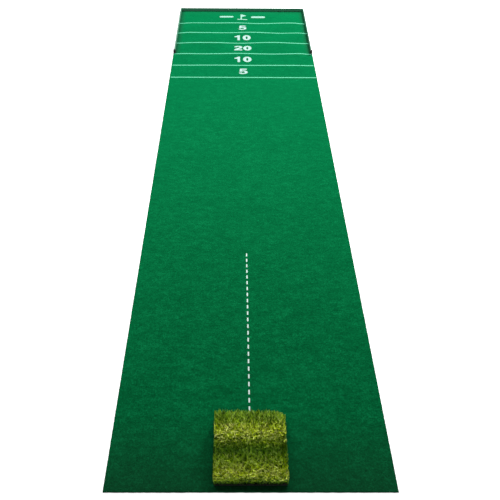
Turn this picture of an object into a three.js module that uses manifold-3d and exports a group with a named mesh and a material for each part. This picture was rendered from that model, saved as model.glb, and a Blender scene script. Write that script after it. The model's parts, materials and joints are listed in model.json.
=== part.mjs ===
// Practice putting mat with a ball-stop barrier and a loose chipping pad, in millimetres, +Z up.
// The origin is on the floor under the middle of the mat. +Y runs from the player to the scoring end.
import * as THREE from "three";
import { mergeVertices } from "three/addons/utils/BufferGeometryUtils.js";
import Module from "manifold-3d";

const wasm = await Module();
wasm.setup();

// The mat: a rubber sheet with needle-punched felt bonded to it.
const MAT_WIDTH = 762;
const MAT_LENGTH = 3048;
const RUBBER_THICK = 2.5;
const FELT_THICK = 3.5;
const FELT_TOP = RUBBER_THICK + FELT_THICK;
const FAR_EDGE = MAT_LENGTH / 2;
const NEAR_EDGE = -MAT_LENGTH / 2;

// The white flocked markings, heat-pressed on the felt.
const PRINT_THICK = 0.5;
const PRINT_TOP = FELT_TOP + PRINT_THICK;
const LINE_COUNT = 6;
const LINE_PITCH = 131.9;
const LINE_WIDTH = 8;
const LINE_LENGTH = 750;
const FIRST_LINE_Y = FAR_EDGE - 193; // the line nearest to the back rail
const DIGIT_HEIGHT = 58;
const DIGIT_WIDTH = 46;
const ONE_WIDTH = 30;
const ONE_ZERO_GAP = 16;
const TWO_ZERO_GAP = 5;
const ZERO_SIDE_STROKE = 17;
const ZERO_END_STROKE = 13;
const DASH_COUNT = 24;
const DASH_PITCH = 27.45;
const DASH_LENGTH = 15;
const DASH_WIDTH = 4.4;
const FIRST_DASH_Y = NEAR_EDGE + 243.5; // the dash nearest to the chipping pad
const EMBLEM_Y = FAR_EDGE - 107;
const EMBLEM_HEIGHT = 80;
const EMBLEM_BAR = { width: 84, height: 22, centre: 95 };

// The barrier: three upright plastic rails held to the felt by hook tape.
const RAIL_INSET = 4; // from the mat's edge to the rail's outer face
const RAIL_THICK = 5;
const RAIL_HEIGHT = 16;
const HOOK_THICK = 1;
const RAIL_BOTTOM = PRINT_TOP + HOOK_THICK;
const RAIL_TOP = RAIL_BOTTOM + RAIL_HEIGHT;
const RAIL_OUTER_X = MAT_WIDTH / 2 - RAIL_INSET;
const RAIL_INNER_X = RAIL_OUTER_X - RAIL_THICK;
const RAIL_OUTER_Y = FAR_EDGE - RAIL_INSET;
const RAIL_INNER_Y = RAIL_OUTER_Y - RAIL_THICK;
const BARRIER_REACH = 584; // from the mat's far edge to the end posts' near faces
const POST = { width: 12, depth: 12, wall: 2, cap: 1.5, clearance: 0.3 };
const BRACKET = { leg: 12, thick: 2, height: 12 };

// The chipping pad: a square of artificial turf that has kept two waves from being rolled up.
const PAD_WIDTH = 198;
const PAD_DEPTH = 205;
const PAD_NEAR_Y = NEAR_EDGE + 13.5;
const PAD_RUBBER_THICK = 3;
const PAD_CLOTH_THICK = 1.2;
const PAD_PILE_HEIGHT = 24;
const PAD_BOND = 0.3; // the latex between two layers
const PAD_BACKING_INSET = 2;
const PAD_CORNER = 5;
const PAD_WORN_CORNER = 20; // the far right corner
const PAD_FOLDS = [ // the wave's turning points: depth from the near edge, and height off the felt
  { depth: 0, height: 2 },
  { depth: 68, height: 12 },
  { depth: 90, height: 0 },
  { depth: 162, height: 15 },
  { depth: PAD_DEPTH, height: 3 },
];
const PAD_STEPS = 48;

const FINISHES = {
  rubber: { color: 0x17181a, roughness: 0.9, metalness: 0 },
  felt: { color: 0x07713f, roughness: 1, metalness: 0 },
  flock: { color: 0xe9f3ec, roughness: 0.95, metalness: 0 },
  rail: { color: 0x255e45, roughness: 0.6, metalness: 0 },
  post: { color: 0x101211, roughness: 0.5, metalness: 0 },
  hook: { color: 0x1c1d1e, roughness: 0.95, metalness: 0 },
  turf: { color: 0x7f9a1c, roughness: 0.8, metalness: 0 },
  cloth: { color: 0x2a2c26, roughness: 0.95, metalness: 0 },
};

const group = new THREE.Group();

function add(name, geometry, finish, position = [0, 0, 0]) {
  const mesh = new THREE.Mesh(geometry, new THREE.MeshStandardMaterial(FINISHES[finish]));
  mesh.name = name;
  mesh.position.set(...position);
  group.add(mesh);
  return mesh;
}

// A box by its size, with the middle of its underside at the given point.
function addSlab(name, [width, depth, height], [x, y, z], finish) {
  return add(name, new THREE.BoxGeometry(width, depth, height), finish, [x, y, z + height / 2]);
}

// A flat shape drawn in X and Y, made into a plate that stands up from z = 0.
function plate(shape, height, curveSegments = 10) {
  return new THREE.ExtrudeGeometry(shape, { depth: height, bevelEnabled: false, curveSegments });
}

// A section drawn in (first, up), swept along X. Its first coordinate becomes Y.
function sweptAlongX(section, length) {
  const toRow = new THREE.Matrix4().makeBasis(
    new THREE.Vector3(0, 1, 0),
    new THREE.Vector3(0, 0, 1),
    new THREE.Vector3(1, 0, 0),
  );
  return plate(section, length).translate(0, 0, -length / 2).applyMatrix4(toRow);
}

// A section drawn in (first, up), swept along Y and centred there. Its first coordinate becomes X.
function sweptAlongY(section, length) {
  const toRow = new THREE.Matrix4().makeBasis(
    new THREE.Vector3(1, 0, 0),
    new THREE.Vector3(0, 0, 1),
    new THREE.Vector3(0, -1, 0),
  );
  return plate(section, length).translate(0, 0, -length / 2).applyMatrix4(toRow);
}

// A rectangle about the origin whose four corners, from near left and anticlockwise, have these radii.
function roundedRectangle(width, depth, [nearLeft, nearRight, farRight, farLeft]) {
  const [x, y] = [width / 2, depth / 2];
  const shape = new THREE.Shape();
  shape.absarc(-x + nearLeft, -y + nearLeft, nearLeft, Math.PI, 1.5 * Math.PI);
  shape.absarc(x - nearRight, -y + nearRight, nearRight, 1.5 * Math.PI, 2 * Math.PI);
  shape.absarc(x - farRight, y - farRight, farRight, 0, 0.5 * Math.PI);
  shape.absarc(-x + farLeft, y - farLeft, farLeft, 0.5 * Math.PI, Math.PI);
  shape.closePath();
  return shape;
}

function toSolid(geometry) {
  const bare = geometry.clone();
  bare.deleteAttribute("normal");
  bare.deleteAttribute("uv");
  const merged = mergeVertices(bare, 1e-3);
  const vertProperties = new Float32Array(merged.attributes.position.array);
  const triVerts = new Uint32Array(merged.index.array);
  return new wasm.Manifold(new wasm.Mesh({ numProp: 3, vertProperties, triVerts }));
}

function toGeometry(solid) {
  const { vertProperties, triVerts } = solid.getMesh();
  const geometry = new THREE.BufferGeometry();
  geometry.setAttribute("position", new THREE.BufferAttribute(vertProperties, 3));
  geometry.setIndex(new THREE.BufferAttribute(triVerts, 1));
  geometry.computeVertexNormals();
  return geometry;
}

// ---- The mat -------------------------------------------------------------------------------------

function addMat() {
  addSlab("rubber_backing", [MAT_WIDTH, MAT_LENGTH, RUBBER_THICK], [0, 0, 0], "rubber");
  addSlab("putting_surface", [MAT_WIDTH, MAT_LENGTH, FELT_THICK], [0, 0, RUBBER_THICK], "felt");
}

function addScoreLines() {
  for (let i = 0; i < LINE_COUNT; i++) {
    const place = [0, FIRST_LINE_Y - i * LINE_PITCH, FELT_TOP];
    addSlab(`score_line_${i + 1}`, [LINE_LENGTH, LINE_WIDTH, PRINT_THICK], place, "flock");
  }
}

function addAimLine() {
  for (let i = 0; i < DASH_COUNT; i++) {
    const name = `aim_dash_${String(i + 1).padStart(2, "0")}`;
    const place = [0, FIRST_DASH_Y + i * DASH_PITCH, FELT_TOP];
    addSlab(name, [DASH_WIDTH, DASH_LENGTH, PRINT_THICK], place, "flock");
  }
}

// Each digit's shape has its lower left corner at the origin and is DIGIT_HEIGHT tall.
function digitZero() {
  const [middleX, middleY] = [DIGIT_WIDTH / 2, DIGIT_HEIGHT / 2];
  const outline = new THREE.Shape();
  outline.absellipse(middleX, middleY, middleX, middleY, 0, 2 * Math.PI, false, 0);
  const hole = new THREE.Path();
  const [holeX, holeY] = [middleX - ZERO_SIDE_STROKE, middleY - ZERO_END_STROKE];
  hole.absellipse(middleX, middleY, holeX, holeY, 0, 2 * Math.PI, true, 0);
  outline.holes.push(hole);
  return outline;
}

function digitOne() {
  const stem = 13.5;
  const shape = new THREE.Shape();
  shape.moveTo(ONE_WIDTH - stem, 0);
  shape.lineTo(ONE_WIDTH, 0);
  shape.lineTo(ONE_WIDTH, DIGIT_HEIGHT);
  shape.lineTo(ONE_WIDTH - stem + 1.5, DIGIT_HEIGHT);
  shape.quadraticCurveTo(ONE_WIDTH - stem - 3, 48, 0, 46);
  shape.lineTo(0, 36);
  shape.lineTo(ONE_WIDTH - stem, 36);
  shape.closePath();
  return shape;
}

function digitTwo() {
  const shape = new THREE.Shape();
  shape.moveTo(0, 0);
  shape.lineTo(45, 0);
  shape.lineTo(45, 12);
  shape.lineTo(21, 12);
  shape.bezierCurveTo(32, 21, 45, 26, 45, 40.5);
  shape.bezierCurveTo(45, 52, 36, 58, 23, 58);
  shape.bezierCurveTo(9, 58, 1, 51, 1, 39.5);
  shape.lineTo(15, 39.5);
  shape.bezierCurveTo(15, 44.5, 18, 47, 22.5, 47);
  shape.bezierCurveTo(27, 47, 30, 44.5, 30, 40.5);
  shape.bezierCurveTo(30, 32, 7, 22, 0, 8);
  shape.closePath();
  return shape;
}

function digitFive() {
  const shape = new THREE.Shape();
  shape.moveTo(7, 58);
  shape.lineTo(3, 25);
  shape.lineTo(15, 25);
  shape.bezierCurveTo(17, 27.5, 19.5, 28.5, 22.5, 28.5);
  shape.bezierCurveTo(28, 28.5, 31.5, 25, 31.5, 19.5);
  shape.bezierCurveTo(31.5, 13.5, 28, 10, 22, 10);
  shape.bezierCurveTo(18, 10, 15.5, 12, 14.5, 15.5);
  shape.lineTo(0, 14.5);
  shape.bezierCurveTo(1.5, 5, 9, 0, 22, 0);
  shape.bezierCurveTo(36, 0, 46, 6.5, 46, 19.5);
  shape.bezierCurveTo(46, 31.5, 37.5, 39, 26, 39);
  shape.bezierCurveTo(22, 39, 19, 38.3, 16.7, 37);
  shape.lineTo(17.7, 47);
  shape.lineTo(42, 47);
  shape.lineTo(42, 58);
  shape.closePath();
  return shape;
}

// A numeral stands in the middle of the band under score line number bandTop.
function addNumeral(name, digits, gap, bandTop) {
  const totalWidth = digits.reduce((sum, digit) => sum + digit.width, gap * (digits.length - 1));
  const y = FIRST_LINE_Y - (bandTop - 0.5) * LINE_PITCH - DIGIT_HEIGHT / 2;
  let x = -totalWidth / 2;
  for (const digit of digits) {
    add(name + digit.suffix, plate(digit.shape, PRINT_THICK), "flock", [x, y, FELT_TOP]);
    x += digit.width + gap;
  }
}

function addNumerals() {
  const five = { shape: digitFive(), width: DIGIT_WIDTH, suffix: "" };
  const one = { shape: digitOne(), width: ONE_WIDTH, suffix: "_digit_1" };
  const two = { shape: digitTwo(), width: DIGIT_WIDTH - 1, suffix: "_digit_2" };
  const zero = { shape: digitZero(), width: DIGIT_WIDTH, suffix: "_digit_0" };
  addNumeral("numeral_5_far", [five], 0, 1);
  addNumeral("numeral_10_far", [one, zero], ONE_ZERO_GAP, 2);
  addNumeral("numeral_20", [two, zero], TWO_ZERO_GAP, 3);
  addNumeral("numeral_10_near", [one, zero], ONE_ZERO_GAP, 4);
  addNumeral("numeral_5_near", [five], 0, 5);
}

// A plain flag on a ground line, between two bars.
function addEmblem() {
  const [top, bottom] = [EMBLEM_HEIGHT / 2, -EMBLEM_HEIGHT / 2];
  const flag = new THREE.Shape();
  flag.moveTo(-30, bottom);
  flag.lineTo(30, bottom);
  flag.lineTo(30, bottom + 9);
  flag.lineTo(-3, bottom + 9);
  flag.lineTo(-3, 2);
  flag.lineTo(26, 20);
  flag.lineTo(-3, top);
  flag.lineTo(-10, top);
  flag.lineTo(-10, bottom + 9);
  flag.lineTo(-30, bottom + 9);
  flag.closePath();
  add("emblem_flag", plate(flag, PRINT_THICK), "flock", [0, EMBLEM_Y, FELT_TOP]);
  const { width, height, centre } = EMBLEM_BAR;
  const round = height / 2 - 1;
  const bar = roundedRectangle(width, height, [round, round, round, round]);
  add("emblem_bar_left", plate(bar, PRINT_THICK, 6), "flock", [-centre, EMBLEM_Y, FELT_TOP]);
  add("emblem_bar_right", plate(bar, PRINT_THICK, 6), "flock", [centre, EMBLEM_Y, FELT_TOP]);
}

// ---- The barrier ---------------------------------------------------------------------------------

// The rail's section: upright, with a half-round top edge, standing on z = 0 about its own middle.
function railSection() {
  const half = RAIL_THICK / 2;
  const section = new THREE.Shape();
  section.moveTo(-half, 0);
  section.lineTo(half, 0);
  section.lineTo(half, RAIL_HEIGHT - half);
  section.absarc(0, RAIL_HEIGHT - half, half, 0, Math.PI);
  section.closePath();
  return section;
}

const SIDE_RAIL_NEAR_Y = FAR_EDGE - BARRIER_REACH + POST.wall;
const SIDE_RAIL_LENGTH = RAIL_INNER_Y - SIDE_RAIL_NEAR_Y;
const SIDE_RAIL_X = (RAIL_INNER_X + RAIL_OUTER_X) / 2;
const SIDE_RAIL_Y = (RAIL_INNER_Y + SIDE_RAIL_NEAR_Y) / 2;
const BACK_RAIL_Y = (RAIL_INNER_Y + RAIL_OUTER_Y) / 2;

function addRails() {
  const back = sweptAlongX(railSection(), 2 * RAIL_OUTER_X);
  add("back_rail", back, "rail", [0, BACK_RAIL_Y, RAIL_BOTTOM]);
  for (const [side, sign] of [["left", -1], ["right", 1]]) {
    const rail = sweptAlongY(railSection(), SIDE_RAIL_LENGTH);
    add(`${side}_rail`, rail, "rail", [sign * SIDE_RAIL_X, SIDE_RAIL_Y, RAIL_BOTTOM]);
  }
}

function addHookTape() {
  const backSize = [2 * RAIL_OUTER_X, RAIL_THICK, HOOK_THICK];
  addSlab("back_hook_tape", backSize, [0, BACK_RAIL_Y, PRINT_TOP], "hook");
  for (const [side, sign] of [["left", -1], ["right", 1]]) {
    const size = [RAIL_THICK, SIDE_RAIL_LENGTH, HOOK_THICK];
    addSlab(`${side}_hook_tape`, size, [sign * SIDE_RAIL_X, SIDE_RAIL_Y, PRINT_TOP], "hook");
  }
}

// An angle inside each back corner ties the side rail to the back rail.
function addCornerBrackets() {
  const { leg, thick, height } = BRACKET;
  const z = RAIL_BOTTOM + 1.5;
  for (const [side, sign] of [["left", -1], ["right", 1]]) {
    const angle = new THREE.Shape();
    angle.moveTo(0, 0);
    angle.lineTo(-sign * leg, 0);
    angle.lineTo(-sign * leg, -thick);
    angle.lineTo(-sign * thick, -thick);
    angle.lineTo(-sign * thick, -leg);
    angle.lineTo(0, -leg);
    angle.closePath();
    const corner = [sign * RAIL_INNER_X, RAIL_INNER_Y, z];
    add(`${side}_corner_bracket`, plate(angle, height), "rail", corner);
  }
}

// A block with a slot that the end of the side rail and its hook tape stand in, capped on top.
function addEndPosts() {
  const { width, depth, wall, cap, clearance } = POST;
  const slotTop = RAIL_TOP + clearance;
  const height = slotTop + cap - FELT_TOP;
  const edge = 1.5;
  const block = toSolid(plate(roundedRectangle(width, depth, [edge, edge, edge, edge]), height, 4));
  const slotSize = [RAIL_THICK + 2 * clearance, depth, slotTop - FELT_TOP + 1];
  const slotPlace = [0, wall - clearance, slotSize[2] / 2 - 1];
  const slot = toSolid(new THREE.BoxGeometry(...slotSize).translate(...slotPlace));
  const post = toGeometry(block.subtract(slot));
  const y = FAR_EDGE - BARRIER_REACH + depth / 2;
  for (const [side, sign] of [["left", -1], ["right", 1]]) {
    add(`${side}_end_post`, post.clone(), "post", [sign * SIDE_RAIL_X, y, FELT_TOP]);
  }
}

// ---- The chipping pad ----------------------------------------------------------------------------

// How far the pad's underside is lifted off the felt, at a depth from its near edge: half a cosine
// from each turning point to the next.
function padLift(depth) {
  const next = Math.max(1, PAD_FOLDS.findIndex((fold) => fold.depth >= depth));
  const [from, to] = [PAD_FOLDS[next - 1], PAD_FOLDS[next]];
  const phase = (depth - from.depth) / (to.depth - from.depth);
  return from.height + ((to.height - from.height) * (1 - Math.cos(Math.PI * phase))) / 2;
}

// One wavy layer of the pad, from bottom to bottom + thick above the lift, cut to the pad's outline.
function padLayer(bottom, thick, inset) {
  const below = [];
  const above = [];
  for (let i = 0; i <= PAD_STEPS; i++) {
    const depth = (PAD_DEPTH * i) / PAD_STEPS;
    const base = bottom + padLift(depth);
    below.push(new THREE.Vector2(depth - PAD_DEPTH / 2, base));
    above.unshift(new THREE.Vector2(depth - PAD_DEPTH / 2, base + thick));
  }
  const wave = toSolid(sweptAlongX(new THREE.Shape([...below, ...above]), PAD_WIDTH + 10));
  const radii = [PAD_CORNER, PAD_CORNER, PAD_WORN_CORNER, PAD_CORNER];
  const outline = roundedRectangle(PAD_WIDTH - 2 * inset, PAD_DEPTH - 2 * inset, radii);
  const column = toSolid(plate(outline, 100, 6).translate(0, 0, -10));
  return toGeometry(wave.intersect(column));
}

function addChippingPad() {
  const place = [0, PAD_NEAR_Y + PAD_DEPTH / 2, FELT_TOP];
  const clothBottom = PAD_RUBBER_THICK + PAD_BOND;
  const pileBottom = clothBottom + PAD_CLOTH_THICK + PAD_BOND;
  const rubber = padLayer(0, PAD_RUBBER_THICK, PAD_BACKING_INSET);
  const cloth = padLayer(clothBottom, PAD_CLOTH_THICK, PAD_BACKING_INSET);
  add("pad_rubber_backing", rubber, "rubber", place);
  add("pad_tufting_cloth", cloth, "cloth", place);
  add("pad_turf_pile", padLayer(pileBottom, PAD_PILE_HEIGHT, 0), "turf", place);
}

addMat();
addScoreLines();
addNumerals();
addEmblem();
addAimLine();
addRails();
addHookTape();
addCornerBrackets();
addEndPosts();
addChippingPad();

export default group;
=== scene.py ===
"""The looks of a practice putting mat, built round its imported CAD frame.

Metres, +Z up, +Y from the player's end to the scoring end. The felt, its rubber backing, the white
markings and the chipping pad are made here. The barrier's rails, posts, brackets and hook tape are the CAD
nodes with new materials.
"""

import json
import math

import bmesh
import bpy
import numpy as np
from mathutils import Matrix, Vector, noise
from mathutils.bvhtree import BVHTree


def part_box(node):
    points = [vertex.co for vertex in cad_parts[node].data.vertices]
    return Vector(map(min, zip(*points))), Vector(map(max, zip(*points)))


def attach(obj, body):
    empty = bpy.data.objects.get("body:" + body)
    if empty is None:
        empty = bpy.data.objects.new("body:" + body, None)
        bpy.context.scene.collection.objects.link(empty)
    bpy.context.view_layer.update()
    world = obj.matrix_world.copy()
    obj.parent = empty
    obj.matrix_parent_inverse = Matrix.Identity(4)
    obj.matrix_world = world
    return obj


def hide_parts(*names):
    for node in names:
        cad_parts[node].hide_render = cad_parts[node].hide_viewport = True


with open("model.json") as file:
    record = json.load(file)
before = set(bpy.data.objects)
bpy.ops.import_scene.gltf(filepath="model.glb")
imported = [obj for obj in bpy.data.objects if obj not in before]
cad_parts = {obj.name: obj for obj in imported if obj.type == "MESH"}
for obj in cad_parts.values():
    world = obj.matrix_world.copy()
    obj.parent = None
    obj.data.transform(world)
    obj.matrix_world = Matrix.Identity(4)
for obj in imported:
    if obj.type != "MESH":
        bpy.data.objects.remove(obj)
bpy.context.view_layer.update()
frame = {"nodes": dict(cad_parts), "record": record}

MM = 0.001
NODES = frame["nodes"]
BODIES = frame["record"]["behaviour"]["bodies"]
SLOT_OF = {row["node"]: row["material_slot"] for row in frame["record"]["subparts"]}

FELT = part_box("putting_surface")
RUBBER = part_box("rubber_backing")
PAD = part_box("pad_turf_pile")
NEAR_EDGE = FELT[0].y
FAR_EDGE = FELT[1].y
BAY_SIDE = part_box("right_rail")[0].x  # the inner face of a side rail
BAY_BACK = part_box("back_rail")[0].y  # the inner face of the back rail
BAY_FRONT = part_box("right_end_post")[0].y

# The mat lies almost flat: it ripples a little at the scoring end, where the roll's core was.
RIPPLE_HEIGHT = 5.5 * MM
RIPPLE_START = 0.25  # the ripples begin this far before the end posts
RIPPLE_FULL = 0.15  # and reach their full height this far behind them
RIPPLE_ACROSS = 0.37  # the ripples' wavelengths across and along the mat
RIPPLE_ALONG = 0.29
RIPPLE_WANDER = 0.83  # the wavelength at which they shift to left and right
SWELL_HEIGHT = 1.0 * MM
SWELL_ALONG = 1.1
RAIL_CLEAR = 70 * MM  # the mat comes down flat over this much, towards the rails and its own edges
PAD_CLEAR = 120 * MM  # and over this much, towards the pad

SHEET_CELL = 8.5 * MM
EDGE_STEPS = np.array([0.0, 0.4, 0.8, 1.6]) * MM  # the fine rows of cells at a cut edge, where it rounds off
EDGE_ROUND = 1.1 * MM
EDGE_RAGGED = 0.35 * MM
EDGE_FADE = 30 * MM  # the uneven edge's shifts die out over this much, inwards
RAGGED_SIZE = 1.7 * MM  # how long the bumps along a marking's edge are
RAGGED_SEED = 5
LINE_CELL = 6 * MM
MARKING_CELL = 3 * MM
FIBRE_COUNT = 5200  # loose fibres round the felt's cut edge
RAIL_SHADE_WIDTH = 32 * MM  # painted rail shadow: the felt is painted darker this near to a side rail, twice this by the back rail
NEAR_SHADE_REACH = 230 * MM  # painted shade: the felt is painted darker this far from the near edge

AMBIENT = 0.333  # the surround's strength beside the lamps'

TUFT_GAUGE = 7.5 * MM
TUFT_PITCH = 5.5 * MM
TUFT_INSET = 2 * MM
PAD_CELL = 4 * MM
BLADES_IN_TUFT = 11
BLADE_LENGTH = 27 * MM
BLADE_WIDTH = 2.5 * MM
BLADE_THICK = 0.28 * MM
BLADE_RINGS = 5
KEEP_IN = 1.0 * MM  # how far inside the pad's edge the blades' tips stay
FRONT_REACH = 30 * MM  # this near to the front edge, FRONT_SHARE of the blades splay to left and right
FRONT_SHARE = 0.6
FRONT_TILT = 0.45
WORN_REACH = 42 * MM  # how far from the far right corner the blades are worn short
WORN_SHARE = 0.45
TURF_PIECES = 6
THATCH_COUNT = 900
THATCH_INSET = 14 * MM
THATCH_RINGS = 9

# Painted light and shade on the pile, by depth from the pad's near edge: painted shade on the front face, in
# the fold and behind the far crest, painted highlights by the near edge and on the far crest. Each feature
# fades out over its near and far widths.
PILE_LIGHT_LEVEL = 0.5
FRONT_SHADE = {"depth": 0, "near": 7 * MM, "far": 7 * MM, "amount": -0.5}
EDGE_HIGHLIGHT = {"depth": 25 * MM, "near": 22 * MM, "far": 24 * MM, "amount": 0.46}
FOLD_SHADE = {"depth": 80 * MM, "near": 16 * MM, "far": 25 * MM, "amount": -0.36}
CREST_HIGHLIGHT = {"depth": 145 * MM, "near": 19 * MM, "far": 19 * MM, "amount": 0.55}
BACK_SHADE = {"depth": 170 * MM, "near": 10 * MM, "far": 10 * MM, "amount": -0.2}


# ---- Camera, light and floor --------------------------------------------------------------------

def make_camera():
    """Stands behind the player's end, a little left of the middle, and looks down along the mat."""
    behind, height, aside = 0.7143, 1.5406, -0.0436
    yaw, pitch, roll = math.radians(0.458), math.radians(43.52), math.radians(-0.443)
    data = bpy.data.cameras.new("camera")
    data.sensor_width = 36
    data.lens = 44.15
    data.shift_x = 0.0239
    camera = bpy.data.objects.new("camera", data)
    turn = Matrix.Rotation(-yaw, 4, "Z") @ Matrix.Rotation(math.pi / 2 - pitch, 4, "X")
    place = Matrix.Translation((aside, RUBBER[0].y - behind, height))
    camera.matrix_world = place @ turn @ Matrix.Rotation(-roll, 4, "Z")
    bpy.context.scene.collection.objects.link(camera)
    bpy.context.scene.camera = camera


def add_area_light(name, place, target, size, watts):
    data = bpy.data.lights.new(name, "AREA")
    data.shape = "ELLIPSE"
    data.size, data.size_y = size
    data.energy = watts
    light = bpy.data.objects.new(name, data)
    light.location = place
    light.rotation_euler = (Vector(target) - Vector(place)).to_track_quat("-Z", "Y").to_euler()
    light.visible_camera = False
    bpy.context.scene.collection.objects.link(light)


def make_light():
    """A lamp beyond the scoring end, a weaker one at the left, a wide one overhead, and a white surround."""
    add_area_light("far_softbox", (1.7, 3.2, 1.9), (0.0, 1.2, 0.0), (1.2, 1.2), 318)
    add_area_light("left_softbox", (-1.8, 2.2, 1.9), (0.0, 0.2, 0.0), (1.2, 1.2), 58)
    add_area_light("top_softbox", (-0.1, -0.3, 2.0), (-0.1, 0.7, 0.0), (2.6, 0.8), 78)
    world = bpy.data.worlds.new("surround")
    world.use_nodes = True
    tree = world.node_tree
    path = tree.nodes.new("ShaderNodeLightPath")
    backdrop = tree.nodes.new("ShaderNodeBackground")
    backdrop.inputs["Color"].default_value = (1, 1, 1, 1)
    ambient = tree.nodes["Background"]
    ambient.inputs["Color"].default_value = (1, 1, 1, 1)
    ambient.inputs["Strength"].default_value = AMBIENT
    mix = tree.nodes.new("ShaderNodeMixShader")
    tree.links.new(path.outputs["Is Camera Ray"], mix.inputs[0])
    tree.links.new(ambient.outputs[0], mix.inputs[1])
    tree.links.new(backdrop.outputs[0], mix.inputs[2])
    tree.links.new(mix.outputs[0], tree.nodes["World Output"].inputs["Surface"])
    bpy.context.scene.world = world
    bpy.context.scene.view_settings.view_transform = "Standard"


def make_floor():
    mesh = bpy.data.meshes.new("floor")
    reach, below = 40.0, -0.5 * MM
    corners = [(-reach, -reach, below), (reach, -reach, below), (reach, reach, below), (-reach, reach, below)]
    mesh.from_pydata(corners, [], [(0, 1, 2, 3)])
    floor = bpy.data.objects.new("floor", mesh)
    bpy.context.scene.collection.objects.link(floor)
    paint = Shader("floor_white", {"Roughness": 0.9, "Base Color": (0.42, 0.42, 0.42, 1)})
    paint.surface.inputs["Emission Color"].default_value = (1, 1, 1, 1)
    paint.surface.inputs["Emission Strength"].default_value = 0.9
    mesh.materials.append(paint.material)


# ---- Materials ----------------------------------------------------------------------------------

class Shader:
    """A material with a Principled surface, and one call for each pattern node."""

    def __init__(self, name, constants):
        self.material = bpy.data.materials.new(name)
        self.material.use_nodes = True
        self.tree = self.material.node_tree
        self.surface = self.tree.nodes["Principled BSDF"]
        for socket, value in constants.items():
            self.surface.inputs[socket].default_value = value
        self.place = self.node("TexCoord").outputs["Object"]

    def node(self, kind, inputs=None, **settings):
        made = self.tree.nodes.new("ShaderNode" + kind)
        for key, value in settings.items():
            setattr(made, key, value)
        for key, value in (inputs or {}).items():
            self.feed(made.inputs[key], value)
        return made

    def feed(self, socket, value):
        if isinstance(value, bpy.types.NodeSocket):
            self.tree.links.new(value, socket)
        else:
            socket.default_value = value

    def stretched(self, x, y, z):
        return self.node("Mapping", {"Vector": self.place, "Scale": (x, y, z)}).outputs[0]

    def noise(self, size, detail=3.0, rough=0.55, warp=0.0, place=None):
        """Noise whose blobs are about this many metres across."""
        inputs = {"Vector": place or self.place, "Scale": 1 / size, "Detail": detail}
        inputs.update({"Roughness": rough, "Distortion": warp})
        return self.node("TexNoise", inputs).outputs[0]

    def cells(self, size):
        inputs = {"Vector": self.place, "Scale": 1 / size}
        return self.node("TexVoronoi", inputs).outputs["Distance"]

    def attribute(self, name):
        return self.node("Attribute", attribute_name=name).outputs["Fac"]

    def maths(self, operation, first, second):
        return self.node("Math", {0: first, 1: second}, operation=operation).outputs[0]

    def total(self, weighted, start):
        """start plus, for each pattern, its weight times its distance from its middle value."""
        value = start
        for pattern, weight in weighted:
            part = self.maths("MULTIPLY", self.maths("SUBTRACT", pattern, 0.5), weight)
            value = self.maths("ADD", part, value)
        return value

    def ramp(self, factor, stops):
        made = self.node("ValToRGB", {"Fac": factor})
        elements = made.color_ramp.elements
        while len(elements) < len(stops):
            elements.new(0.5)
        for element, (position, colour) in zip(elements, stops):
            element.position = position
            element.color = (*colour, 1)
        return made.outputs["Color"]

    def mix(self, factor, first, second, blend="MIX"):
        inputs = {"Fac": factor, "Color1": first, "Color2": second}
        return self.node("MixRGB", inputs, blend_type=blend).outputs[0]

    def bump(self, height, distance, strength=1.0):
        inputs = {"Height": height, "Distance": distance, "Strength": strength}
        self.feed(self.surface.inputs["Normal"], self.node("Bump", inputs).outputs[0])

    def colour(self, socket):
        self.feed(self.surface.inputs["Base Color"], socket)

    def span(self, value, low, high):
        """0 at low, 1 at high."""
        return self.node("MapRange", {"Value": value, "From Min": low, "From Max": high}).outputs[0]

    def roughness(self, pattern, low, high):
        inputs = {"Value": pattern, "From Min": 0.3, "From Max": 0.7, "To Min": low, "To Max": high}
        self.feed(self.surface.inputs["Roughness"], self.node("MapRange", inputs).outputs[0])


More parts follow.
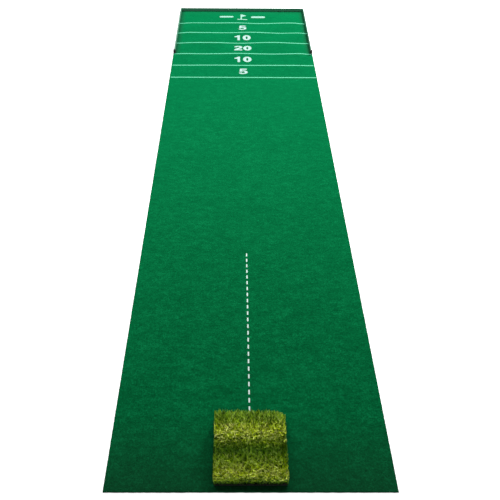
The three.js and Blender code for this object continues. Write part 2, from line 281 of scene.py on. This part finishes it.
def felt_material():
    """Needle-punched felt: matted fibres, tuftier towards the player, with painted shade by the near edge and
    painted rail shadows.
    """
    felt = Shader("felt", {"Roughness": 1.0, "Specular IOR Level": 0.0, "Sheen Weight": 0.155,
                           "Sheen Roughness": 0.6, "Sheen Tint": (0.0, 0.9, 0.36, 1)})
    fibre = felt.noise(1.8 * MM, 4, 0.7, 1.5)
    fleck = felt.noise(5.0 * MM, 3, 0.65, 0.8)
    tuft = felt.noise(13 * MM, 3, 0.6, place=felt.stretched(0.5, 1, 1))
    mottle = felt.noise(45 * MM, 4, 0.6, place=felt.stretched(0.4, 1, 1))
    broad = felt.noise(300 * MM, 2)
    place = felt.node("SeparateXYZ", {0: felt.place})
    along = place.outputs["Y"]
    uneven = felt.total([(fibre, 0.8), (fleck, 1.3), (tuft, 0.65), (mottle, 0.2), (broad, 0.12)], 0.0)
    towards_player = felt.span(along, FAR_EDGE, NEAR_EDGE)
    trodden = felt.maths("ADD", 0.42, felt.maths("MULTIPLY", towards_player, 0.68))
    shade = felt.maths("ADD", felt.maths("MULTIPLY", uneven, trodden), 0.5)
    green = felt.ramp(shade, [(0.0, (0.0005, 0.012, 0.003)), (0.5, (0.0007, 0.049, 0.0133)),
                              (1.0, (0.0028, 0.119, 0.0385))])
    stray = felt.ramp(felt.noise(3.1 * MM, 2, 0.5, 2.5), [(0.62, (0, 0, 0)), (0.72, (1, 1, 1))])
    tangled = felt.mix(felt.maths("MULTIPLY", stray, 0.3), green, (0.006, 0.074, 0.0245, 1))
    # painted shade: the felt is painted darker towards the near edge
    near_shade = felt.maths("MULTIPLY", felt.span(along, NEAR_EDGE + NEAR_SHADE_REACH, NEAR_EDGE), 0.56)
    # painted shadow of the rails: the felt is painted darker beside the side rails in the bay and before the
    # back rail
    from_middle = felt.maths("ABSOLUTE", place.outputs["X"], 0.0)
    beside = felt.span(from_middle, BAY_SIDE - RAIL_SHADE_WIDTH, BAY_SIDE)
    in_bay = felt.span(along, BAY_FRONT - 10 * MM, BAY_FRONT + 20 * MM)
    back_rail_shade = felt.maths("MULTIPLY", felt.span(along, BAY_BACK - 2 * RAIL_SHADE_WIDTH, BAY_BACK), 0.4)
    side_rail_shade = felt.maths("MULTIPLY", felt.maths("MULTIPLY", beside, in_bay), 0.95)
    rail_shade = felt.maths("MAXIMUM", side_rail_shade, back_rail_shade)
    near_shaded = felt.mix(near_shade, tangled, (0.0037, 0.0085, 0.0038, 1))
    felt.colour(felt.mix(rail_shade, near_shaded, (0.005, 0.015, 0.008, 1)))
    felt.bump(felt.total([(fibre, 0.8), (fleck, 0.8), (tuft, 0.5)], 0.5), 1.3 * MM, 0.8)
    return felt.material


def rubber_material(name, grain):
    """Black sheet rubber with a pebbled underside, dusty in places."""
    rubber = Shader(name, {"Roughness": 0.85, "Specular IOR Level": 0.3})
    pebble = rubber.cells(grain)
    dust = rubber.noise(60 * MM, 5, 0.65)
    fine = rubber.noise(0.8 * MM, 3)
    shade = rubber.total([(dust, 0.8), (fine, 0.4)], 0.4)
    rubber.colour(rubber.ramp(shade, [(0.1, (0.003, 0.0032, 0.0035)), (0.9, (0.014, 0.0145, 0.014))]))
    rubber.roughness(dust, 0.78, 0.95)
    rubber.bump(rubber.total([(pebble, 1.0), (fine, 0.3)], 0.5), 0.5 * MM, 0.8)
    return rubber.material


def flock_material(name, cover, thread):
    """White flock pressed into the felt: cover is how much of the green it hides, and thread its colour."""
    flock = Shader(name, {"Roughness": 1.0, "Specular IOR Level": 0.1})
    fibre = flock.noise(0.9 * MM, 4, 0.7, 1.0)
    worn = flock.noise(3.5 * MM, 4, 0.7)
    shade = flock.total([(fibre, 0.9), (worn, 1.2)], cover)
    thin = (thread[0] * 0.36, thread[1] * 0.75, thread[2] * 0.52)
    flock.colour(flock.ramp(shade, [(0.1, (0.002, 0.06, 0.02)), (0.45, thin), (0.8, thread)]))
    flock.bump(flock.total([(fibre, 1.0), (worn, 0.6)], 0.5), 0.5 * MM, 0.7)
    return flock.material


def rail_material():
    """Dark green extruded plastic: drawn lines, a fine grain, dust, and paler patches by the top edge."""
    rail = Shader("rail_plastic", {"Roughness": 0.5, "Specular IOR Level": 0.4})
    drawn = rail.noise(0.7 * MM, 2, place=rail.stretched(0.02, 0.02, 1))
    grain = rail.noise(0.5 * MM, 3)
    dust = rail.noise(35 * MM, 5, 0.7)
    shade = rail.total([(drawn, 0.3), (grain, 0.3), (dust, 0.5)], 0.45)
    base = rail.ramp(shade, [(0.1, (0.011, 0.074, 0.038)), (0.9, (0.026, 0.154, 0.087))])
    height = rail.node("SeparateXYZ", {0: rail.place}).outputs["Z"]
    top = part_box("back_rail")[1].z
    edge = rail.span(height, top - 4 * MM, top)
    # paler patches within 4 mm of the top edge
    pale_patch = rail.ramp(rail.noise(5 * MM, 5, 0.75), [(0.52, (0, 0, 0)), (0.62, (1, 1, 1))])
    rail.colour(rail.mix(rail.maths("MULTIPLY", edge, pale_patch), base, (0.045, 0.105, 0.072, 1)))
    rail.roughness(rail.noise(9 * MM, 4), 0.42, 0.66)
    rail.bump(rail.total([(drawn, 0.6), (grain, 0.6)], 0.5), 0.12 * MM, 0.6)
    return rail.material


def post_material():
    """Black moulded plastic with a spark-eroded texture."""
    post = Shader("post_plastic", {"Roughness": 0.7, "Specular IOR Level": 0.2})
    grain = post.noise(0.6 * MM, 4, 0.6)
    cloud = post.noise(12 * MM, 4, 0.7)
    shade = post.total([(grain, 0.5), (cloud, 0.6)], 0.4)
    post.colour(post.ramp(shade, [(0.1, (0.002, 0.003, 0.002)), (0.9, (0.009, 0.011, 0.009))]))
    post.roughness(cloud, 0.6, 0.8)
    post.bump(grain, 0.15 * MM, 0.7)
    return post.material


def hook_material():
    """Hook tape: woven ground with rows of hooks."""
    hook = Shader("hook_tape", {"Roughness": 0.9, "Sheen Weight": 0.1})
    hooks = hook.cells(1.4 * MM)
    weave = hook.noise(0.5 * MM, 2, place=hook.stretched(1, 0.3, 1))
    shade = hook.total([(hooks, 0.9), (weave, 0.5)], 0.5)
    hook.colour(hook.ramp(shade, [(0.1, (0.005, 0.005, 0.006)), (0.9, (0.034, 0.034, 0.036))]))
    hook.bump(shade, 0.5 * MM, 0.9)
    return hook.material


def cloth_material():
    """The pad's tufting cloth: flat woven tapes, dark, with a latex haze."""
    cloth = Shader("tufting_cloth", {"Roughness": 0.9})
    warp = cloth.noise(1.6 * MM, 1, place=cloth.stretched(1, 0.12, 1))
    weft = cloth.noise(1.6 * MM, 1, place=cloth.stretched(0.12, 1, 1))
    haze = cloth.noise(14 * MM, 4)
    shade = cloth.total([(warp, 0.8), (weft, 0.8), (haze, 0.5)], 0.5)
    cloth.colour(cloth.ramp(shade, [(0.1, (0.003, 0.004, 0.002)), (0.9, (0.018, 0.020, 0.012))]))
    cloth.bump(cloth.total([(warp, 1.0), (weft, 1.0)], 0.5), 0.3 * MM, 0.9)
    return cloth.material


def blade_material():
    """Grass blades: each its own shade of yellow-green, with painted shade towards the root and painted light
    and shade across the pad's waves.
    """
    blade = Shader("turf_blade", {"Roughness": 0.5, "Specular IOR Level": 0.15})
    tone = blade.attribute("tone")
    along = blade.attribute("along")
    streak = blade.noise(0.6 * MM, 2, place=blade.stretched(1, 1, 0.2))
    shade = blade.total([(tone, 0.95), (streak, 0.25)], 0.5)
    green = blade.ramp(shade, [(0.0, (0.020, 0.055, 0.001)), (0.30, (0.200, 0.310, 0.004)),
                               (0.62, (0.780, 0.930, 0.022)), (1.0, (0.950, 0.950, 0.320))])
    # painted shade: the blades are painted darker towards the root, where the pile shades itself
    root = blade.ramp(along, [(0.0, (0.08, 0.15, 0.06)), (0.3, (0.45, 0.60, 0.35)), (0.6, (1, 1, 1))])
    # painted light and shade along the pad's waves
    pile_light = blade.ramp(blade.attribute("pile_light"), [(0.15, (0.085, 0.21, 0.04)), (0.5, (0.43, 0.58, 0.33)),
                                              (1.0, (1, 1, 1))])
    blade.colour(blade.mix(1.0, blade.mix(1.0, green, root, "MULTIPLY"), pile_light, "MULTIPLY"))
    blade.roughness(streak, 0.42, 0.6)
    blade.bump(streak, 0.08 * MM, 0.5)
    return blade.material


def thatch_material():
    """Curled thatch yarn between the blades: straw to reddish brown."""
    thatch = Shader("turf_thatch", {"Roughness": 0.6})
    tone = thatch.attribute("tone")
    speck = thatch.noise(1.0 * MM, 3)
    shade = thatch.total([(tone, 0.9), (speck, 0.3)], 0.5)
    thatch.colour(thatch.ramp(shade, [(0.0, (0.040, 0.050, 0.008)), (0.5, (0.120, 0.110, 0.025)),
                                      (1.0, (0.300, 0.150, 0.040))]))
    return thatch.material


# ---- Mesh tools ---------------------------------------------------------------------------------

def smooth_step(low, high, value):
    """0 up to low, 1 from high, with a smooth rise between."""
    t = np.clip((value - low) / (high - low), 0.0, 1.0)
    return t * t * (3 - 2 * t)


def quad_object(name, points, quads, material):
    """An object of four-sided faces, made quickly from arrays."""
    mesh = bpy.data.meshes.new(name)
    mesh.vertices.add(len(points))
    mesh.vertices.foreach_set("co", np.asarray(points, np.float32).ravel())
    mesh.loops.add(quads.size)
    mesh.loops.foreach_set("vertex_index", quads.astype(np.int32).ravel())
    mesh.polygons.add(len(quads))
    mesh.polygons.foreach_set("loop_start", np.arange(0, quads.size, 4, dtype=np.int32))
    mesh.update(calc_edges=True)
    mesh.materials.append(material)
    made = bpy.data.objects.new(name, mesh)
    bpy.context.scene.collection.objects.link(made)
    return made


def shade_by_angle(made, degrees):
    made.data.shade_smooth()
    made.data.set_sharp_from_angle(angle=math.radians(degrees))


def settle(made, node):
    """Puts a new piece on its CAD node's body, in the node's place, and hides the node."""
    body = next(name for name, members in BODIES.items() if node in members)
    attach(made, body)
    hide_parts(node)


def add_attribute(made, name, values):
    layer = made.data.attributes.new(name, "FLOAT", "POINT")
    layer.data.foreach_set("value", np.asarray(values, np.float32).ravel())


# ---- The mat ------------------------------------------------------------------------------------

def mat_lift(x, y):
    """How far the mat stands off the floor: never below it, and flat at its edges, the rails and the pad."""
    x, y = np.asarray(x, float), np.asarray(y, float)
    across = 2 * math.pi * x / RIPPLE_ACROSS + 0.9
    wander = 1.3 * np.sin(2 * math.pi * y / RIPPLE_WANDER + 0.4)
    along = 2 * math.pi * y / RIPPLE_ALONG + 0.7 * np.sin(across / 2)
    ripple = 0.5 + 0.5 * np.sin(across + wander) * np.sin(along)
    swell = 0.5 + 0.5 * np.sin(2 * math.pi * (y / SWELL_ALONG + 0.35 * x) + 1.0)
    height = RIPPLE_HEIGHT * ripple * smooth_step(BAY_FRONT - RIPPLE_START, BAY_FRONT + RIPPLE_FULL, y)
    height = height + SWELL_HEIGHT * swell
    sides = smooth_step(0, RAIL_CLEAR, BAY_SIDE - np.abs(x))
    ends = smooth_step(0, RAIL_CLEAR, BAY_BACK - y) * smooth_step(0, RAIL_CLEAR, y - NEAR_EDGE)
    middle = (PAD[0] + PAD[1]) / 2
    half = (PAD[1] - PAD[0]) / 2
    outside = np.maximum(np.abs(x - middle.x) - half.x, np.abs(y - middle.y) - half.y)
    return height * sides * ends * smooth_step(0, PAD_CLEAR, outside)


def graded(low, high, cell):
    """Even steps of about one cell, with finer ones at both ends for a rounded edge."""
    rim = EDGE_STEPS[-1]
    inner = np.linspace(low + rim, high - rim, max(2, round((high - low) / cell)))
    return np.concatenate([low + EDGE_STEPS[:-1], inner, high - EDGE_STEPS[-2::-1]])


def grid_sheet(name, box, material, rounded, seed):
    """A closed sheet that fills a CAD node's box, follows the mat's ripples and has slightly uneven edges."""
    low, high = box
    xs, ys = graded(low.x, high.x, SHEET_CELL), graded(low.y, high.y, SHEET_CELL)
    x, y = np.meshgrid(xs, ys, indexing="ij")
    inset = np.minimum(np.minimum(x - low.x, high.x - x), np.minimum(y - low.y, high.y - y))
    outward = 1 - np.clip(inset / EDGE_STEPS[-1], 0, 1)
    drop = rounded * (1 - np.sqrt(np.clip(1 - outward ** 2, 0, 1)))
    rng = np.random.default_rng(seed)
    fade = np.clip(1 - inset / EDGE_FADE, 0, 1)
    lift = mat_lift(x, y)
    x = x + fade * EDGE_RAGGED * rng.uniform(-1, 1, (1, len(ys)))
    y = y + fade * EDGE_RAGGED * rng.uniform(-1, 1, (len(xs), 1))
    top = np.stack([x, y, high.z + lift - drop], -1).reshape(-1, 3)
    bottom = np.stack([x, y, low.z + lift], -1).reshape(-1, 3)
    n, m = len(xs), len(ys)
    index = np.arange(n * m).reshape(n, m)
    a, b, c, d = index[:-1, :-1], index[1:, :-1], index[1:, 1:], index[:-1, 1:]
    upper = np.stack([a, b, c, d], -1).reshape(-1, 4)
    lower = np.stack([d, c, b, a], -1).reshape(-1, 4) + n * m
    rim = np.concatenate([index[:, 0], index[-1, 1:], index[-2::-1, -1], index[0, -2:0:-1]])
    after = np.roll(rim, -1)
    side = np.stack([rim + n * m, after + n * m, after, rim], -1)
    made = quad_object(name, np.concatenate([top, bottom]), np.concatenate([upper, lower, side]), material)
    shade_by_angle(made, 50)
    return made


def cut_copy(node, name, cell, ragged, lift, material):
    """A CAD node's solid, cut into a fine grid, slightly uneven, lifted to follow what it lies on."""
    mesh = bmesh.new()
    mesh.from_mesh(NODES[node].data)
    bmesh.ops.remove_doubles(mesh, verts=mesh.verts, dist=0.01 * MM)
    low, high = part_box(node)
    for axis, normal in ((0, (1, 0, 0)), (1, (0, 1, 0))):
        count = round((high[axis] - low[axis]) / cell)
        for i in range(1, count):
            place = [0, 0, 0]
            place[axis] = low[axis] + (high[axis] - low[axis]) * i / count
            parts = mesh.verts[:] + mesh.edges[:] + mesh.faces[:]
            bmesh.ops.bisect_plane(mesh, geom=parts, dist=0.001 * MM, plane_co=place, plane_no=normal)
    heights = lift([v.co.x for v in mesh.verts], [v.co.y for v in mesh.verts])
    for vertex, height in zip(mesh.verts, np.atleast_1d(heights)):
        spot = Vector((vertex.co.x, vertex.co.y, 0)) / RAGGED_SIZE
        shift = noise.noise_vector(spot) * ragged
        vertex.co += Vector((shift.x, shift.y, height))
    made_mesh = bpy.data.meshes.new(name)
    mesh.to_mesh(made_mesh)
    mesh.free()
    made_mesh.materials.append(material)
    made = bpy.data.objects.new(name, made_mesh)
    bpy.context.scene.collection.objects.link(made)
    shade_by_angle(made, 40)
    return made


def strands(name, base, direction, side, length, width, thick, bend, twist, tone, rings, material):
    """Thin tapered ribbons with a diamond section, one for each row of the arrays, each closed at both ends.

    A strand leaves base along direction, lies flat along side, and bends and twists through the given angles.
    """
    count = len(base)
    s = np.linspace(0, 1, rings)[None, :]
    normal = np.cross(side, direction)
    angle = bend[:, None] * s
    forward = (length / bend)[:, None] * np.sin(angle)
    sideways = (length / bend)[:, None] * (1 - np.cos(angle))
    centre = (base[:, None, :] + forward[..., None] * direction[:, None, :]
              + sideways[..., None] * normal[:, None, :])
    face = -np.sin(angle)[..., None] * direction[:, None, :] + np.cos(angle)[..., None] * normal[:, None, :]
    turn = (twist[:, None] * s)[..., None]
    across = np.cos(turn) * side[:, None, :] + np.sin(turn) * face
    outward = np.cos(turn) * face - np.sin(turn) * side[:, None, :]
    taper = (0.8 + 0.8 * s - 1.42 * s * s)[..., None]
    half_width = width[:, None, None] / 2 * taper
    half_thick = thick / 2 * (1 - 0.6 * s)[..., None]
    corners = np.stack([centre + across * half_width, centre + outward * half_thick,
                        centre - across * half_width, centre - outward * half_thick], 2)
    first = (np.arange(count) * rings * 4)[:, None, None]
    ring = (np.arange(rings - 1) * 4)[None, :, None]
    corner = np.arange(4)[None, None, :]
    here, there = first + ring + corner, first + ring + (corner + 1) % 4
    walls = np.stack([here, there, there + 4, here + 4], -1).reshape(-1, 4)
    root = (np.arange(count) * rings * 4)[:, None] + np.array([3, 2, 1, 0])
    tip = (np.arange(count) * rings * 4)[:, None] + (rings - 1) * 4 + np.arange(4)
    made = quad_object(name, corners.reshape(-1, 3), np.concatenate([walls, root, tip]), material)
    shade_by_angle(made, 80)
    add_attribute(made, "tone", np.repeat(tone, rings * 4))
    add_attribute(made, "along", np.tile(np.repeat(np.linspace(0, 1, rings), 4), count))
    return made


def unit(vectors):
    return vectors / np.maximum(np.linalg.norm(vectors, axis=-1, keepdims=True), 1e-9)


def side_of(direction, lean):
    """The width direction of a strand that bends towards lean."""
    return unit(np.cross(direction, lean))


def make_edge_fibres(material):
    """Short loose fibres along the felt's cut edge."""
    rng = np.random.default_rng(11)
    low, high = FELT
    width, length = high.x - low.x, high.y - low.y
    count = FIBRE_COUNT
    run = rng.uniform(0, 2 * (width + length), count)
    base, out = np.zeros((count, 3)), np.zeros((count, 3))
    sides = [(0, width, 0, low.y, -1), (width, width + length, 1, high.x, 1),
             (width + length, 2 * width + length, 0, high.y, 1),
             (2 * width + length, 2 * (width + length), 1, low.x, -1)]
    for start, end, axis, place, sign in sides:
        here = (run >= start) & (run < end)
        base[here, axis] = (low.x if axis == 0 else low.y) + run[here] - start
        base[here, 1 - axis] = place - sign * 0.3 * MM
        out[here, 1 - axis] = sign
    base[:, 2] = rng.uniform(low.z + 0.6 * MM, high.z - 0.4 * MM, count)
    direction = unit(out + rng.normal(0, 0.45, (count, 3)) * [1, 1, 0.3] + [0, 0, 0.15])
    side = side_of(direction, rng.normal(0, 1, (count, 3)) * [1, 1, 0.1])
    fibre_length = rng.uniform(1.2, 3.2, count) * MM
    fibre_width = rng.uniform(0.10, 0.2, count) * MM
    bend, twist, tone = rng.uniform(0.4, 2.4, count), rng.uniform(-1, 1, count), rng.uniform(0, 1, count)
    made = strands("felt_edge_fibres", base, direction, side, fibre_length, fibre_width, 0.1 * MM,
                   bend, twist, tone, 4, material)
    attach(made, "mat")


def make_mat():
    felt = felt_material()
    surface = grid_sheet("felt_sheet", FELT, felt, EDGE_ROUND, 3)
    settle(surface, "putting_surface")
    backing = grid_sheet("rubber_sheet", RUBBER, rubber_material("rubber", 2.6 * MM), 0.0, 4)
    settle(backing, "rubber_backing")
    make_edge_fibres(felt)


def make_markings():
    """Every flocked marking, cut from its CAD solid so that it lies on the rippled felt."""
    lines = flock_material("flock_thin", 0.45, (0.145, 0.392, 0.325))
    emblem = flock_material("flock_faint", 0.72, (0.180, 0.300, 0.265))
    digits = flock_material("flock_full", 0.85, (0.215, 0.300, 0.285))
    dashes = flock_material("flock_bright", 0.9, (0.37, 0.46, 0.43))
    flocks = {"score_line": lines, "emblem": emblem, "numeral": digits, "aim_dash": dashes}
    for node in BODIES["mat"]:
        if SLOT_OF[node] != "flock":
            continue
        material = next(flock for prefix, flock in flocks.items() if node.startswith(prefix))
        cell = LINE_CELL if material is lines else MARKING_CELL
        settle(cut_copy(node, node + "_flock", cell, EDGE_RAGGED, mat_lift, material), node)


# ---- The barrier --------------------------------------------------------------------------------

def finish_barrier():
    """The barrier's CAD nodes keep their shapes and get their plastics and tape."""
    materials = {"rail": rail_material(), "post": post_material(), "hook_tape": hook_material()}
    for node in BODIES["barrier"]:
        slot = NODES[node].material_slots[0]
        slot.link = "OBJECT"
        slot.material = materials[SLOT_OF[node]]


# ---- The chipping pad ---------------------------------------------------------------------------

def no_lift(x, y):
    return np.zeros(len(x))


def pad_ground():
    """A tree of the tufting cloth's faces, to find where a tuft stands."""
    cloth = bmesh.new()
    cloth.from_mesh(NODES["pad_tufting_cloth"].data)
    tree = BVHTree.FromBMesh(cloth)
    cloth.free()
    return tree


def tuft_places(rng):
    """Where the tufts are stitched, row by row, and which way the cloth faces there."""
    ground = pad_ground()
    low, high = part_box("pad_tufting_cloth")
    places, normals = [], []
    for x in np.arange(low.x + TUFT_INSET, high.x - TUFT_INSET / 2, TUFT_GAUGE):
        for y in np.arange(low.y + TUFT_INSET, high.y - TUFT_INSET / 2, TUFT_PITCH):
            spot = Vector((x + rng.normal(0, 0.7) * MM, y + rng.normal(0, 0.9) * MM, high.z + 0.05))
            hit, normal, _, _ = ground.ray_cast(spot, Vector((0, 0, -1)))
            if hit is not None:
                places.append(hit)
                normals.append(normal)
    return np.array(places), np.array(normals)


def painted_pile_light_at(depth):
    """The painted light and shade on the blades at these depths from the pad's near edge."""
    level = np.full(len(depth), PILE_LIGHT_LEVEL)
    for feature in (FRONT_SHADE, EDGE_HIGHLIGHT, FOLD_SHADE, CREST_HIGHLIGHT, BACK_SHADE):
        beyond = depth - feature["depth"]
        width = np.where(beyond < 0, feature["near"], feature["far"])
        level += feature["amount"] * np.exp(-(beyond / width) ** 2)
    return level


def make_blades(places, normals, rng):
    """The pile: each tuft fans out into blades that lean and curl over, but hardly past the pad's edges."""
    base = np.repeat(places, BLADES_IN_TUFT, axis=0)
    normal = np.repeat(normals, BLADES_IN_TUFT, axis=0)
    count = len(base)
    base = base + rng.normal(0, 0.8, (count, 3)) * [MM, MM, 0]
    base[:, 2] -= 0.5 * MM
    middle, half = (PAD[0] + PAD[1]) / 2, (PAD[1] - PAD[0]) / 2
    from_middle = base[:, :2] - [middle.x, middle.y]
    spin = rng.uniform(0, 2 * math.pi, count)
    lean = np.stack([np.cos(spin), np.sin(spin), np.zeros(count)], -1)
    tilt = np.abs(rng.normal(0, 0.2, count))
    length = np.clip(rng.normal(1.0, 0.11, count), 0.6, 1.25) * BLADE_LENGTH
    to_corner = np.linalg.norm(base[:, :2] - [PAD[1].x, PAD[1].y], axis=1)
    length *= WORN_SHARE + (1 - WORN_SHARE) * smooth_step(0, WORN_REACH, to_corner)
    bend = rng.uniform(0.2, 1.3, count)
    front = (base[:, 1] - PAD[0].y < FRONT_REACH) & (rng.uniform(0, 1, count) < FRONT_SHARE)
    sideways = np.sign(lean[:, 0])[:, None] * unit(np.array([1.0, 0.0, 0.0]) + lean * 0.3)
    lean[front] = sideways[front]
    tilt[front] += FRONT_TILT
    bend[front] *= 0.5
    room = np.maximum([half.x, half.y] - np.abs(from_middle) - KEEP_IN, 0.0)
    travel = lean[:, :2] * np.sign(from_middle) * (length * (tilt + bend / 2))[:, None]
    share = np.clip(room / np.maximum(travel, 0.1 * MM), 0.08, 1).min(axis=1)
    tilt, bend = tilt * share, bend * share
    upright = normal.copy()
    upright[:, :2] *= np.clip(room / BLADE_LENGTH, 0, 1)
    direction = unit(upright + lean * tilt[:, None])
    side = side_of(direction, lean)
    width = rng.uniform(0.75, 1.2, count) * BLADE_WIDTH
    tuft_tone = np.repeat(rng.normal(0.5, 0.2, len(places)), BLADES_IN_TUFT)
    tone = np.clip(tuft_tone + rng.normal(0, 0.38, count), 0, 1)
    # painted light and shade on the pile, by depth from the near edge
    pile_light = painted_pile_light_at(base[:, 1] - PAD[0].y)
    twist = rng.normal(0, 0.9, count)
    material = blade_material()
    for i, part in enumerate(np.array_split(np.arange(count), TURF_PIECES)):
        blades = strands(f"turf_blades_{i + 1}", base[part], direction[part], side[part], length[part],
                         width[part], BLADE_THICK, bend[part], twist[part], tone[part], BLADE_RINGS, material)
        add_attribute(blades, "pile_light", np.repeat(pile_light[part], BLADE_RINGS * 4))
        settle(blades, "pad_turf_pile")


def make_thatch(places, normals, rng):
    """Curled yarn low down between the blades."""
    middle, half = (PAD[0] + PAD[1]) / 2, (PAD[1] - PAD[0]) / 2
    inside = np.abs(places[:, :2] - [middle.x, middle.y]) < [half.x - THATCH_INSET, half.y - THATCH_INSET]
    pick = rng.choice(np.flatnonzero(inside.all(axis=1)), THATCH_COUNT)
    base = places[pick] + rng.normal(0, 1.6, (THATCH_COUNT, 3)) * [MM, MM, 0]
    spread = rng.normal(0, 0.8, (THATCH_COUNT, 3)) * [1, 1, 0.3]
    direction = unit(normals[pick] + spread)
    side = side_of(direction, rng.normal(0, 1, (THATCH_COUNT, 3)))
    length, width = rng.uniform(16, 30, THATCH_COUNT) * MM, np.full(THATCH_COUNT, 0.7 * MM)
    bend = rng.uniform(2.5, 6.5, THATCH_COUNT)
    twist = rng.normal(0, 2.5, THATCH_COUNT)
    tone = rng.uniform(0, 1, THATCH_COUNT)
    made = strands("turf_thatch", base, direction, side, length, width, 0.35 * MM, bend, twist, tone,
                   THATCH_RINGS, thatch_material())
    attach(made, "chipping_pad")


def make_pad():
    material = cloth_material()
    cloth = cut_copy("pad_tufting_cloth", "pad_woven_cloth", PAD_CELL, 0.5 * MM, no_lift, material)
    settle(cloth, "pad_tufting_cloth")
    rubber = rubber_material("pad_rubber", 1.8 * MM)
    backing = cut_copy("pad_rubber_backing", "pad_rubber_sheet", PAD_CELL, 0.4 * MM, no_lift, rubber)
    settle(backing, "pad_rubber_backing")
    rng = np.random.default_rng(7)
    places, normals = tuft_places(rng)
    make_blades(places, normals, rng)
    make_thatch(places, normals, rng)


noise.seed_set(RAGGED_SEED)
make_camera()
make_light()
make_floor()
make_mat()
make_markings()
finish_barrier()
make_pad()

bpy.context.view_layer.update()
